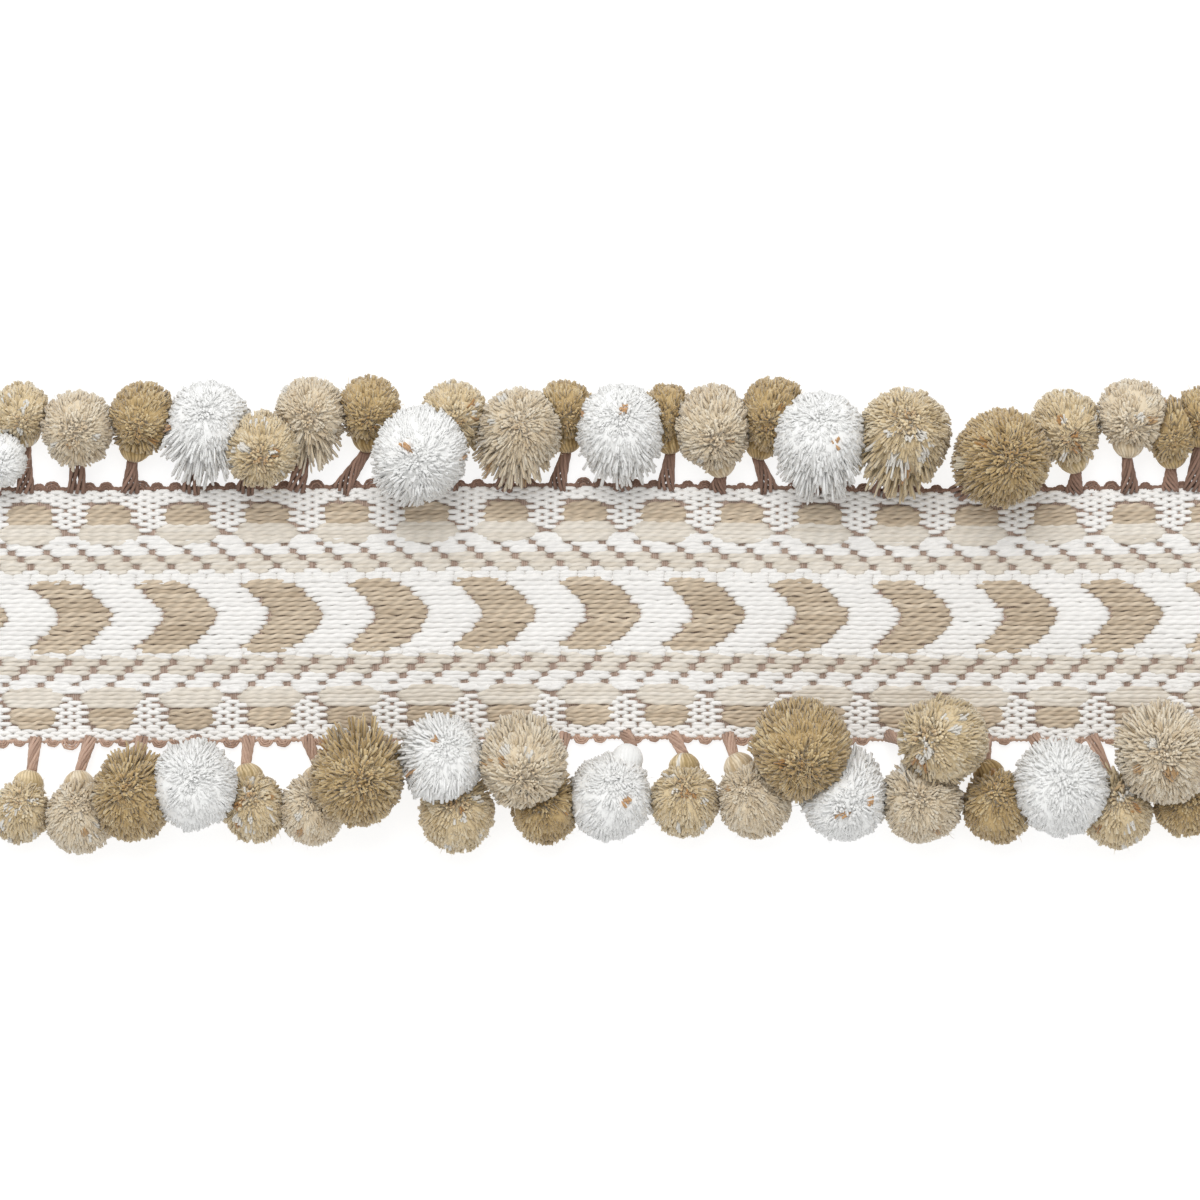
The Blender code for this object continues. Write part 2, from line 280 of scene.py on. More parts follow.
def tapeEdges():
    # the tape's outline in the frame: places along it, and its lower and upper edge at each
    corners = nodeFaces("tape").reshape(-1, 3)
    places = np.unique(corners[:, 0].round(5))
    spans = [corners[np.abs(corners[:, 0] - x) < 0.1 * mm, 1] for x in places]
    return places, np.array([s.min() for s in spans]), np.array([s.max() for s in spans])


edgePlaces, edgeLow, edgeHigh = tapeEdges()
tapeLow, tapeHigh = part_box("tape")
tape = {
    "column": 2.104 * mm,  # from one weft column to the next
    "drift": 0.86 * mm,  # the columns lie a little to the right round the middle
    "driftAt": -6.0 * mm, "driftReach": 62.0 * mm,
    "nominalHalf": 30.0,  # the rows' places are millimetres on a tape of this half width
    "endMargin": 0.15 * mm, "groundTop": 1.2 * mm, "groundLow": 0.15 * mm,
    "threadsPerColumn": 4, "threadHeight": 0.16 * mm,
    "underRib": 0.4,  # the lower face's ribs, as a share of the upper face's
    "bays": 5,  # spaces between the sheet's lengthwise lines
}


def edgeAt(x, side):
    return np.interp(x, edgePlaces, edgeHigh if side > 0 else edgeLow)


def onTape(columns, across):
    # columns: weft columns from the middle. across: millimetres from the middle line of a nominal tape.
    # x = columns * pitch + drift * exp(-((x - driftAt) / driftReach)^2), y = middle + across / nominal half * half
    x = columns * tape["column"]
    x = x + tape["drift"] * np.exp(-(((x - tape["driftAt"]) / tape["driftReach"]) ** 2))
    low, high = edgeAt(x, -1), edgeAt(x, 1)
    return x, (low + high) / 2 + across / tape["nominalHalf"] * (high - low) / 2


def buildGround():
    # the weft: brown threads side by side across the tape, as one sheet with ribbed faces. Crown is 1 along a thread
    # and 0 between two: top = ground top - thread height * (1 - crown), and shade is painted darker between the
    # threads
    length = tapeHigh.x - tapeLow.x - 2 * tape["endMargin"]
    threads = round(length / tape["column"] * tape["threadsPerColumn"])
    count = threads * 2 + 1
    x = np.linspace(-length / 2, length / 2, count)
    crown = np.arange(count) % 2.0
    line = np.linspace(-1, 1, tape["bays"] + 1)
    across = np.concatenate([line, line[::-1]])
    upper = np.repeat([1.0, 0.0], len(line))
    low, high = edgeAt(x, -1), edgeAt(x, 1)
    y = (low + high)[:, None] / 2 + across * (high - low)[:, None] / 2
    top = tape["groundTop"] - tape["threadHeight"] * (1 - crown)
    bottom = tape["groundLow"] + tape["underRib"] * tape["threadHeight"] * (1 - crown)
    z = upper * top[:, None] + (1 - upper) * bottom[:, None]
    points = np.stack([np.broadcast_to(x[:, None], y.shape), y, z], axis=-1)
    sides = len(across)
    ring = np.arange(count - 1)[:, None] * sides
    here, beside = ring + np.arange(sides), ring + (np.arange(sides) + 1) % sides
    quads = np.stack([here, here + sides, beside + sides, beside], axis=-1).reshape(-1, 4)
    bay = np.arange(tape["bays"])
    cap = np.stack([bay + 1, sides - 2 - bay, sides - 1 - bay, bay], axis=-1)
    caps = np.concatenate([cap, cap[:, ::-1] + (count - 1) * sides])
    own = np.repeat(chance.random(threads + 1), 2)[:count]
    # tone: each thread's own random tone, with painted shade where crown is 0, between the threads
    tone = np.repeat(own * (0.3 + 0.7 * crown) + 0.35 * crown - 0.15, sides)
    quads = np.concatenate([quads, caps])
    return {"points": points.reshape(-1, 3), "quads": quads, "tris": np.zeros((0, 3), int), "marks": {"tone": tone}}


# yarns laid over the ground

# lift: millimetres over the ground. squash: height as a share of width. lobes: how deep the plies are. dip: how
# sharply the ends go down. sway: millimetres across
yarnColumns = ("sides", "steps", "radius", "squash", "lobes", "lift", "dip", "sway")
yarnKinds = {
    "float": (8, 13, 0.67, 0.8, 0.14, 0.36, 9, 0.085),
    "loose": (8, 13, 0.61, 0.88, 0.2, 0.38, 9, 0.12),
    "short": (6, 8, 0.66, 0.66, 0.12, 0.3, 6, 0.06),
    "stitch": (5, 5, 0.62, 0.7, 0.0, 0.26, 3.2, 0.02),
}
laid = {
    "plyTurn": 6.4 * mm,
    "endDepth": 0.4 * mm,  # how far the ends go down into the ground
    "pinch": 0.7,  # the ends' radius, as a share of the middle's
    "liftSpread": 0.1, "thickSpread": 0.06,
    "waves": 1.6,  # sideways waves in a yarn's length
    "tilt": 1.2,  # how far yarns lie askew, as a share of their sway
    "swells": 2.1, "swellSize": 0.05,  # thick places in a yarn's length
    "leastLength": 0.5,  # columns of a yarn that must lie on the tape
}


def laidYarns(rows, kind):
    # rows: start and end in columns, and the place across at both ends and at the middle, one row for a yarn.
    # Across = ends + (middle - ends) * sin(pi t) + wave + tilt, and height = ground + lift * (1 - |2t - 1|^dip)
    look = dict(zip(yarnColumns, yarnKinds[kind]))
    reachX = (tapeHigh.x - tape["endMargin"]) / tape["column"]
    rows = np.asarray(rows, float)
    rows = rows[(rows[:, 0] < reachX - laid["leastLength"]) & (rows[:, 1] > laid["leastLength"] - reachX)]
    start = np.maximum(rows[:, 0], -reachX)[:, None]
    end = np.minimum(rows[:, 1], reachX)[:, None]
    count = len(rows)
    t = np.linspace(0, 1, look["steps"])
    sway = chance.normal(0, look["sway"], (count, 1))
    waves = sway * np.sin(2 * math.pi * (laid["waves"] * t + chance.random((count, 1))))
    across = rows[:, 2:3] + (rows[:, 3:4] - rows[:, 2:3]) * np.sin(math.pi * t) + waves
    across = across + chance.normal(0, laid["tilt"] * look["sway"], (count, 1)) * (t - 0.5)
    x, y = onTape(start + (end - start) * t, across)
    x = np.clip(x, tapeLow.x + tape["endMargin"], tapeHigh.x - tape["endMargin"])
    rise = 1 - np.abs(2 * t - 1) ** look["dip"]
    crest = look["lift"] * mm * (1 + chance.normal(0, laid["liftSpread"], (count, 1)))
    z = tape["groundTop"] - laid["endDepth"] + (laid["endDepth"] + crest) * rise
    radii = look["radius"] * mm * (laid["pinch"] + (1 - laid["pinch"]) * rise)
    swell = np.sin(2 * math.pi * (laid["swells"] * t + chance.random((count, 1))))
    radii = radii * (1 + chance.normal(0, laid["thickSpread"], (count, 1)) + laid["swellSize"] * swell)
    turns = 2 * math.pi * (x / laid["plyTurn"] + chance.random((count, 1)))
    shape = tubes(
        np.stack([x, y, z], axis=-1), radii, look["sides"],
        lobes=look["lobes"], turns=turns, squash=look["squash"],
    )
    tone = chance.random(count)[shape["owner"]]
    shape["marks"] = {"tone": tone, "groove": shape["groove"] if look["lobes"] else np.ones(len(tone))}
    return shape


# the charted pattern. Places along are weft columns from the middle, places across are nominal millimetres
pattern = {
    # shifts: how far each row's tip lies back, middle rows first. outerTan, outerWhite: how much the outermost rows'
    # yarns are shorter at the start and at the end, and how far their middles bend outwards
    "chevron": {
        "pitch": 12, "tip": -55.81, "length": 6, "rows": 16, "topRow": 7.8, "rowPitch": 1.108,
        "shifts": (0.0, 0.15, 0.85, 1.1, 1.85, 2.25, 3.2, 3.5), "jitter": 0.12, "whiteOverlap": 0.1,
        "outerTan": (0.6, 0.3, -0.1), "outerWhite": (0.7, 0.8, 0.3),
    },
    # the blocks of long floats: yarn, first block's middle, its place across, and its floats' lengths, outermost
    # first. They are pulled together at their ends and bulge in their middles
    "blockPitch": 9, "blockNumbers": range(-1, 17), "blockRowPitch": 0.95,
    "blockEnds": 0.88, "blockBulge": 1.04, "blockJitter": 0.08,
    "blockColumns": ("yarn", "first", "across", "lengths"),
    "blocks": (
        ("tan", -65.12, 23.9, (3.7, 5.2, 5.4, 5.4, 5.0)),
        ("cream", -65.12, 19.3, (6.2, 7.2, 7.6, 7.2, 5.6)),
        ("cream", -64.63, -19.9, (6.2, 7.2, 7.6, 7.2, 5.8)),
        ("tan", -64.63, -25.0, (3.7, 5.2, 5.4, 5.4, 5.0)),
    ),
    # the rows with brown squares: yarn, place across, where the squares lie in their pitch, and half the space
    # between the row's two yarns
    "squarePitch": 4, "squareNumbers": range(-19, 19), "squareWidth": 0.72, "squareEnds": 0.95, "squareBulge": 1.2,
    "squareColumns": ("yarn", "across", "phase", "half"),
    "squares": (
        ("white", 16.7, -0.13, 0.42),
        ("white", 15.1, 0.86, 0.4),
        ("cream", 13.3, 1.91, 0.44),
        ("cream", 11.65, 3.04, 0.42),
        ("cream", -11.25, 3.3, 0.48),
        ("cream", -13.4, 2.2, 0.52),
        ("white", -15.2, 1.27, 0.46),
        ("white", -16.85, 0.17, 0.42),
    ),
    # outside the outermost of them lies one more yarn, and a second one in the gaps between the blocks: how far out
    # it is, and how much shorter at each end
    "outermostFrom": 16, "outerYarns": ((1.0, 0.1), (1.6, 0.46)), "outerEnds": 0.75,
    "gapReach": 2.2, "gapMiddle": {1: -60.62, -1: -60.13},
    "gapFill": ((17.75, 1.9), (18.35, 1.5)),  # place across and half length
    # the plain stitches along the edges and in the gaps. gapRows: by the first block's middle. gapClear: up to which
    # place across they keep how far from the blocks' middles
    "edgeRows": (29.5, 28.8, 28.1, 27.4, -29.8, -29.1, -28.4, -27.7),
    "gapRows": {
        -65.12: (26.65, 25.9, 25.05, 24.1, 23.25, 22.5, 21.75, 21.0, 20.25),
        -64.63: (-27.0, -26.15, -25.3, -24.45, -23.6, -22.75, -21.9, -21.05, -20.25),
    },
    "gapClear": ((21.6, 3.4), (26.4, 2.6), (30.0, 2.0)),
    "edgeFrom": 27.2, "stitchHalf": {"edge": 1.0, "gap": 0.86},
    "stitchJitter": (0.05, 0.06),  # along and across
    "lineHalf": 1.06, "creamLinesFrom": 10,
    "lineRows": ((10.2, 3.04), (9.3, 0.04), (8.5, 2.0), (7.8, 0.0), (-8.8, 2.0), (-9.5, 0.2), (-10.2, 2.1)),
}


def chevronYarns():
    # tip = first tip + pitch * number - the row's shift. A tan float ends there, and a white one goes on from it
    look = pattern["chevron"]
    found = {"tan": [], "white": []}
    for row in range(look["rows"]):
        fromTip = round(abs(row - (look["rows"] - 1) / 2) - 0.5)
        across = look["topRow"] - look["rowPitch"] * row
        outer = fromTip == len(look["shifts"]) - 1
        tanIn, tanShort, tanBend = np.multiply(look["outerTan"], outer)
        whiteIn, whiteShort, whiteBend = np.multiply(look["outerWhite"], outer)
        side = np.sign(across)
        for number in range(-2, 12):
            tip = look["tip"] + look["pitch"] * number - look["shifts"][fromTip]
            tanJitter, tipJitter, whiteJitter = chance.normal(0, look["jitter"], 3)
            start = tip - look["length"] + tanJitter + tanIn
            end = tip + tipJitter - tanShort
            found["tan"].append((start, end, across, across + tanBend * side))
            start = tip + tipJitter - look["whiteOverlap"] + whiteIn
            end = tip + look["length"] + whiteJitter - whiteShort
            found["white"].append((start, end, across, across + whiteBend * side))
    return found


def blockYarns():
    # a float's distance from its block's middle = (its line from the middle one) * row pitch
    found = {"tan": [], "cream": []}
    for row in pattern["blocks"]:
        block = dict(zip(pattern["blockColumns"], row))
        for number in pattern["blockNumbers"]:
            middle = block["first"] + pattern["blockPitch"] * number
            for line, length in enumerate(block["lengths"]):
                off = ((len(block["lengths"]) - 1) / 2 - line) * pattern["blockRowPitch"] * np.sign(block["across"])
                half = length / 2 + chance.normal(0, pattern["blockJitter"])
                ends = block["across"] + off * pattern["blockEnds"]
                bulge = block["across"] + off * pattern["blockBulge"]
                found[block["yarn"]].append((middle - half, middle + half, ends, bulge))
    return found


def fromNearest(columns, first):
    # distance to the nearest of the places first + block pitch * number, in columns
    half = pattern["blockPitch"] / 2
    return np.abs((columns - first + half) % pattern["blockPitch"] - half)


def squareYarns():
    # two yarns a row, from each brown square to the next, pulled together at the squares
    found = {"white": [], "cream": []}
    pitch, gap = pattern["squarePitch"], pattern["squareWidth"] / 2
    for row in pattern["squares"]:
        look = dict(zip(pattern["squareColumns"], row))
        out = np.sign(look["across"])
        for number in pattern["squareNumbers"]:
            left = look["phase"] + pitch * number
            start, end = left + gap, left + pitch - gap
            for way in (-1, 1):
                ends = look["across"] + way * look["half"] * pattern["squareEnds"]
                bulge = look["across"] + way * look["half"] * pattern["squareBulge"]
                found[look["yarn"]].append((start, end, ends, bulge))
            if abs(look["across"]) > pattern["outermostFrom"]:
                inGap = fromNearest(left + pitch / 2, pattern["gapMiddle"][out]) < pattern["gapReach"]
                for more, shorter in pattern["outerYarns"] if inGap else pattern["outerYarns"][:1]:
                    ends = look["across"] + out * more * pattern["outerEnds"]
                    found["white"].append((start + shorter, end - shorter, ends, look["across"] + out * more))
    for side, first in pattern["gapMiddle"].items():
        for number in pattern["blockNumbers"]:
            middle = first + pattern["blockPitch"] * number
            for across, half in pattern["gapFill"]:
                found["white"].append((middle - half, middle + half, side * across, side * across))
    return found


def plainStitches():
    # one stitch in every second column, and in the others on the next row
    found = []
    columns = np.arange(-72, 73)
    rows = [(across, None) for across in pattern["edgeRows"]]
    rows += [(across, first) for first, places in pattern["gapRows"].items() for across in places]
    for line, (across, first) in enumerate(rows):
        here = columns[(columns + line) % 2 == 0].astype(float)
        if first is not None:
            clear = next(most for limit, most in pattern["gapClear"] if abs(across) < limit)
            here = here[fromNearest(here, first) > clear]
        here = here + chance.normal(0, pattern["stitchJitter"][0], len(here))
        half = pattern["stitchHalf"]["edge" if abs(across) > pattern["edgeFrom"] else "gap"]
        level = across + chance.normal(0, pattern["stitchJitter"][1], len(here))
        found.append(np.stack([here - half, here + half, level, level], axis=-1))
    return np.concatenate(found)


def lineYarns():
    # rows of short yarns end to end, two to each square pitch. In the outer rows every second one is cream
    found = {"white": [], "cream": []}
    half = pattern["lineHalf"]
    for across, phase in pattern["lineRows"]:
        for number in pattern["squareNumbers"]:
            first = phase + pattern["squarePitch"] * number
            second = first + pattern["squarePitch"] / 2
            colour = "cream" if abs(across) > pattern["creamLinesFrom"] else "white"
            found["white"].append((first - half, first + half, across, across))
            found[colour].append((second - half, second + half, across, across))
    return found


groundFinish = brownThread("weft brown", (0.27, 0.19, 0.15), (0.55, 0.42, 0.345))
whiteFinish = wovenYarn("white yarn woven", (0.85, 0.835, 0.81), (0.95, 0.935, 0.91), 0.1)
creamFinish = wovenYarn("cream yarn woven", (0.71, 0.64, 0.54), (0.88, 0.83, 0.75), 0.18)
tanFinish = wovenYarn("tan yarn woven", (0.52, 0.41, 0.29), (0.80, 0.68, 0.53), 0.3)

ground = putPiece("ground_weft", buildGround(), groundFinish)
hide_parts("tape")

chevrons = chevronYarns()
blocks = blockYarns()
squares = squareYarns()
lines = lineYarns()
for name, shapes, finish in (
    ("stitches_white", [laidYarns(plainStitches(), "stitch"), laidYarns(lines["white"], "short")], whiteFinish),
    ("chevrons_white", [laidYarns(chevrons["white"], "float")], whiteFinish),
    ("chevrons_tan", [laidYarns(chevrons["tan"], "loose")], tanFinish),
    ("blocks_tan", [laidYarns(blocks["tan"], "loose")], tanFinish),
    ("blocks_cream", [laidYarns(blocks["cream"], "float"), laidYarns(lines["cream"], "short")], creamFinish),
    ("rows_white", [laidYarns(squares["white"], "short")], whiteFinish),
    ("rows_cream", [laidYarns(squares["cream"], "short")], creamFinish),
):
    putPiece(name, joined(shapes), finish)
print("tape woven")


# the tassels

# turn: the way a tassel points in plan, degrees from +X. rise: its tilt up. head: 1 where the wound head shows.
# hanger: where its loop leaves the tape, millimetres. skirt: how far its strands hang out towards the tape
tasselColumns = ("turn", "rise", "head", "hanger", "skirt")
tasselRows = {
    "top": (
        (-90, 70, 0, -146, 0.2), (95, 25, 1, -138, 0.15), (-90, 76, 0, -125.6, 0.2),
        (75, 20, 1, -112.8, 0.25), (80, 50, 0, -98.5, 0.75), (-90, 70, 0, -85.5, 0.15), (85, 35, 0, -73, 0.8),
        (87, 20, 1, -62.5, 0.15), (-100, 75, 0, -49, 0.25), (90, 20, 0, -36.3, 0.4), (80, 45, 0, -23.3, 0.6),
        (90, 20, 1, -10.6, 0.15), (85, 50, 0, 5.5, 0.45), (95, 15, 1, 15.6, 0.15), (101, 25, 1, 28, 0.2),
        (70, 20, 1, 40.8, 0.15), (90, 60, 0, 52.5, 0.55), (90, 50, 0, 67, 0.6), (-12, 79, 0, 85.5, 0.15),
        (105, 20, 1, 113.8, 0.3), (84, 10, 1, 127.2, 0.25), (90, 30, 1, 136.8, 0.3), (83, 10, 1, 142.2, 0.15),
    ),
    "bottom": (
        (-104, 20, 1, -135.4, 0.15), (-90, 20, 1, -122.2, 0.2), (113, 72, 0, -110, 0.4),
        (90, 75, 0, -97, 0.15), (-77, 20, 1, -84.2, 0.1), (-100, 25, 1, -70.6, 0.2), (-5, 80, 0, -57, 0.5),
        (-99, 15, 0, -44.4, 0.4), (-90, 25, 0, -31.5, 0.35), (100, 10, 0, -19, 0.15),
        (-80, 20, 0, -8.2, 0.35), (-114, 5, 1, 6, 0.1), (-90, 15, 1, 17.4, 0.1), (-66, 15, 1, 30.6, 0.1),
        (90, 10, 0, 43.5, 0.15), (-60, 45, 0, 56.5, 0.3), (135, 78, 0, 76, 0.2), (0, 20, 1, 69, 0.2),
        (-76, 15, 1, 92.6, 0.1), (90, 75, 0, 104, 0.15), (-90, 25, 0, 118, 0.3), (160, 80, 0, 132, 0.25),
        (-90, 20, 0, 146, 0.2),
    ),
}

# colours, then the painted shade at the roots, the share of strands at the burst given the rust colour as painted
# shade in the hollow where they part, the number of pale and of rust flecks, the strands' width in millimetres,
# single fibres for each strand, and how far out the ball's inside reaches
yarnParts = (
    "dark", "body", "light", "pale", "rust",
    "rootShade", "burstRustShade", "paleTufts", "rustTufts", "strandWidth", "fuzz", "core",
)
yarns = {name: dict(zip(yarnParts, row)) for name, row in {
    "white_yarn": (
        (0.90, 0.90, 0.885), (0.93, 0.93, 0.915), (0.95, 0.95, 0.935), (0.9, 0.9, 0.88), (0.60, 0.36, 0.18),
        1.0, 0.0, 0, 2, 0.42, 0.42, 0.98,
    ),
    "beige_yarn": (
        (0.66, 0.51, 0.32), (0.89, 0.765, 0.57), (0.96, 0.90, 0.77), (0.88, 0.84, 0.76), (0.56, 0.36, 0.18),
        0.72, 0.35, 2, 2, 0.38, 0.52, 0.945,
    ),
    "olive_yarn": (
        (0.39, 0.255, 0.10), (0.70, 0.51, 0.25), (0.95, 0.81, 0.52), (0.76, 0.66, 0.48), (0.50, 0.28, 0.10),
        0.55, 0.6, 1, 1, 0.37, 0.52, 0.945,
    ),
    "speckled_yarn": (
        (0.55, 0.405, 0.20), (0.88, 0.715, 0.455), (0.96, 0.88, 0.70), (0.93, 0.89, 0.81), (0.54, 0.30, 0.12),
        0.66, 0.65, 10, 3, 0.38, 0.52, 0.945,
    ),
}.items()}

pompom = {
    "strandsPerArea": 1.07,  # strands for each square millimetre of the ball
    "undersideShare": 0.15,  # how many of them are kept on the underside
    "undersideFrom": -0.62, "strandShake": 0.9,
    "strandRoot": 0.76,  # where the strands' hidden ends lie, as a share of the radius
    "lean": 0.62, "leanSpread": 0.12,  # how far the strands lie away from where they burst open
    "bendLean": 0.45, "bendReach": 0.98,  # how much of a strand's middle points the way of its root
    "dimple": 0.035,  # how far the strands sink in at the burst, and how many times that the core does
    "coreSink": 2.4, "dimpleFrom": 0.8,
    "burstBack": 0.55,  # a lying tassel bursts open this far back from its top to its head
    "upFrom": (25, 60),  # tassels that rise more than this burst open at their tips
    "rings": (0.36, 0.95, 1.0), "ringWidths": (0.8, 1.0, 0.0),
    "ragged": 0.024, "raggedMost": (-0.08, 0.05),
    "tuftSize": 8, "tuftPull": 0.26,  # strands in a tuft, and how far they are drawn together
    "skirtFrom": 0.35,  # strands that point this much towards the tape hang out and down
    "skirtDrop": 0.5, "fleckAngle": 7.5,
    "burstShadeFrom": 0.86, "burstShadeShare": 0.4,  # strands given the rust colour as painted shade lie this near to the burst
    "overlap": 0.4 * mm, "frontOverlap": 2.2 * mm, "frontFrom": 2.0 * mm,
    "fuzzWidth": 0.13 * mm, "fuzzOut": 0.05,
    "hairs": 14, "hairWidth": 0.07 * mm,
    "hairOut": (0.06, 0.16),  # least, and how much more at most
    "clearAngle": 28,  # no strands this near to the head, degrees
    "coreRows": 9, "coreColumns": 14, "lowest": 0.2 * mm,
}
wound = {
    "radius": 3.7 * mm, "length": 1.05, "ribs": 24, "perRib": 3, "rows": 12, "ribDepth": 0.06, "ribTwist": 0.3,
    "neckAt": 0.72, "neckTurns": 3, "perTurn": 11, "neckRadius": 2.7 * mm, "neckLength": 1.3 * mm,
    "neckThread": 0.42 * mm,
}


def yarnMarks(count, tone, depth, pale=0.0, rust=0.0):
    # what the finish of cut yarn reads at each point
    values = {"tone": tone, "depth": depth, "pale": pale, "rust": rust}
    return {key: np.broadcast_to(np.asarray(value, float), count) for key, value in values.items()}


def heavyPoint(faces):
    # the middle of a closed solid: the sum of its faces' tetrahedra to the origin, by volume
    volumes = np.einsum("ij,ij->i", faces[:, 0], np.cross(faces[:, 1], faces[:, 2]))
    return (faces.sum(1) * volumes[:, None]).sum(0) / (4 * volumes.sum())


def reach(faces, start, ways):
    # how far each way from the start the solid's skin lies: where the ray crosses the plane of a face inside it
    edgeOne, edgeTwo = faces[:, 1] - faces[:, 0], faces[:, 2] - faces[:, 0]
    across = np.cross(ways[:, None], edgeTwo)
    scale = (edgeOne * across).sum(-1)
    scale = np.where(np.abs(scale) < 1e-15, 1e-15, scale)
    fromCorner = start - faces[:, 0]
    first = (fromCorner * across).sum(-1) / scale
    turned = np.cross(fromCorner, edgeOne)
    second = (ways[:, None] * turned).sum(-1) / scale
    distance = (edgeTwo * turned).sum(-1) / scale
    inside = (first > -1e-6) & (second > -1e-6) & (first + second < 1 + 1e-6) & (distance > 0)
    return np.where(inside, distance, 0).max(1)


def evenWays(count, spread):
    # directions spread evenly over a sphere by the golden angle, then shaken: height = 1 - 2 * step / count
    step = np.arange(count) + 0.5
    high = 1 - 2 * step / count
    around = step * math.pi * (3 - math.sqrt(5))
    flat = np.sqrt(1 - high ** 2)
    ways = np.stack([flat * np.cos(around), flat * np.sin(around), high], axis=-1)
    return unit(ways + chance.normal(0, spread / math.sqrt(count), (count, 3)))


def measured(node, side, look):
    # what the parts of one tassel share: its solid, its axis, the ball's middle and radius, and where its head lies
    turn, rise = math.radians(look["turn"]), math.radians(look["rise"])
    axis = np.array([math.cos(turn) * math.cos(rise), math.sin(turn) * math.cos(rise), math.sin(rise)])
    faces = nodeFaces(node)
    centre = heavyPoint(faces)
    ball = np.percentile(reach(faces, centre, evenWays(200, 0.0)), 70)
    toHead = reach(faces, centre, -axis[None])[0] if look["head"] else ball * 0.4
    hangerX = look["hanger"] * mm
    return {
        **look, "faces": faces, "axis": axis, "centre": centre, "ball": ball, "yarn": yarns[slotOf[node]],
        "burst": burstOf(axis, look["rise"]),
        "overlap": pompom["frontOverlap"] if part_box(node)[0].z > pompom["frontFrom"] else pompom["overlap"],
        "headMiddle": centre - axis * (toHead - wound["radius"] * look["head"]),
        "toTape": unit(np.array([hangerX - centre[0], edgeAt(hangerX, side) - centre[1], 0.0])),
    }


def burstOf(axis, rise):
    # the way in which the ball bursts open: the axis where the tassel points up, and near its neck where it lies.
    # Burst = share * axis + (1 - share) * (up + back)
    low, high = pompom["upFrom"]
    share = min(max((rise - low) / (high - low), 0.0), 1.0)
    back = np.array([-axis[0], -axis[1], 0.0]) * pompom["burstBack"] / max(math.hypot(axis[0], axis[1]), 0.2)
    return unit(share * axis + (1 - share) * (back + (0.0, 0.0, 1.0)))


def ballReach(tassel, ways):
    # the CAD ball's skin, let out by the overlap where a neighbour presses it in:
    # the larger of reach and min(reach + overlap, radius)
    far = reach(tassel["faces"], tassel["centre"], ways)
    spare = np.where(ways[:, 2] > -0.3, tassel["overlap"], 0.0)
    return np.maximum(far, np.minimum(far + spare, tassel["ball"]))


def nearness(ways, burst, start):
    # 0 up to the start's cosine from the burst, and 1 at the burst itself
    return np.clip((ways @ burst - start) / (1 - start), 0, 1)


def strandCount(tassel, share=1.0):
    # strands for each square millimetre * 4 pi r^2
    return int(pompom["strandsPerArea"] * 4 * math.pi * (tassel["ball"] / mm) ** 2 * share)


def clearOfHead(tassel, ways):
    # which ways leave room for the wound head
    limit = -math.cos(math.radians(pompom["clearAngle"]))
    return (ways @ tassel["axis"] > limit) | (not tassel["head"])


def poleSkin(rows, columns):
    # the faces of a ball of rows and columns of points from pole to pole, whose two poles come last
    first = np.arange(rows - 2)[:, None] * columns
    edge, edgeNext = np.arange(columns), (np.arange(columns) + 1) % columns
    here, beside = first + edge, first + edgeNext
    pole, last = (rows - 1) * columns, (rows - 2) * columns
    return {
        "quads": np.stack([here, here + columns, beside + columns, beside], axis=-1).reshape(-1, 4),
        "tris": np.concatenate([
            np.stack([edge, edgeNext, np.full(columns, pole)], axis=-1),
            np.stack([edgeNext + last, edge + last, np.full(columns, pole + 1)], axis=-1),
        ]),
    }


def buildCore(tassel):
    # the inside of the ball that shows between the strands, sunk in at the burst:
    # distance = skin * (the yarn's core share - sink * dimple)
    rows, columns = pompom["coreRows"], pompom["coreColumns"]
    polar = math.pi * np.arange(1, rows)[:, None] / rows
    turn = 2 * math.pi * np.arange(columns) / columns
    ways = np.stack([
        np.sin(polar) * np.cos(turn), np.sin(polar) * np.sin(turn), np.cos(polar) + 0 * turn
    ], axis=-1).reshape(-1, 3)
    ways = np.concatenate([ways, [[0, 0, 1.0], [0, 0, -1.0]]])
    sink = pompom["coreSink"] * pompom["dimple"] * nearness(ways, tassel["burst"], pompom["dimpleFrom"])
    far = ballReach(tassel, ways) * (tassel["yarn"]["core"] - sink)
    points = tassel["centre"] + ways * far[:, None]
    # the core takes painted shade at depth 0.55, as the dark inside of the ball
    return {"points": points, **poleSkin(rows, columns), "marks": yarnMarks(len(ways), 0.5, 0.55)}


def buildHead(tassel):
    # the wound head: a ball with a rib for each strand laid over it. Rib = cos(ribs * (turn + twist * cos(polar)))
    # and size = radius * (1 + rib depth * rib * sin(polar)), with shade painted into the grooves between the ribs
    axis, middle = tassel["axis"], tassel["headMiddle"]
    rows, columns = wound["rows"], wound["ribs"] * wound["perRib"]
    polar = math.pi * np.arange(1, rows)[:, None] / rows
    turn = 2 * math.pi * np.arange(columns) / columns
    rib = np.cos(wound["ribs"] * (turn + wound["ribTwist"] * np.cos(polar)))
    side, above = squareTo(axis)
    size = wound["radius"] * (1 + wound["ribDepth"] * rib * np.sin(polar))
    points = middle + (
        (size * np.sin(polar) * np.cos(turn))[..., None] * side
        + (size * np.sin(polar) * np.sin(turn))[..., None] * above
        - (size * np.cos(polar) * wound["length"])[..., None] * axis
    )
    ends = middle + np.array([[-1.0], [1.0]]) * axis * wound["radius"] * wound["length"]
    points = np.concatenate([points.reshape(-1, 3), ends])
    own = chance.random(wound["ribs"])
    pale = (own > 0.9) & (tassel["yarn"]["paleTufts"] > 5)
    own, pale = (np.tile(np.repeat(values, wound["perRib"]), rows - 1) for values in (own, pale))
    tone = np.append(own * 0.8 - 0.15, [0.5, 0.5])
    # painted shade: depth 0.85 darkens the ribs a little, as the head lies in shade, and 0.1 darkens the grooves
    depth = np.append(0.1 + 0.75 * (rib > -0.4), [1, 1])
    marks = yarnMarks(len(points), tone, depth, np.append(pale, [0, 0]))
    return {"points": points, **poleSkin(rows, columns), "marks": marks}


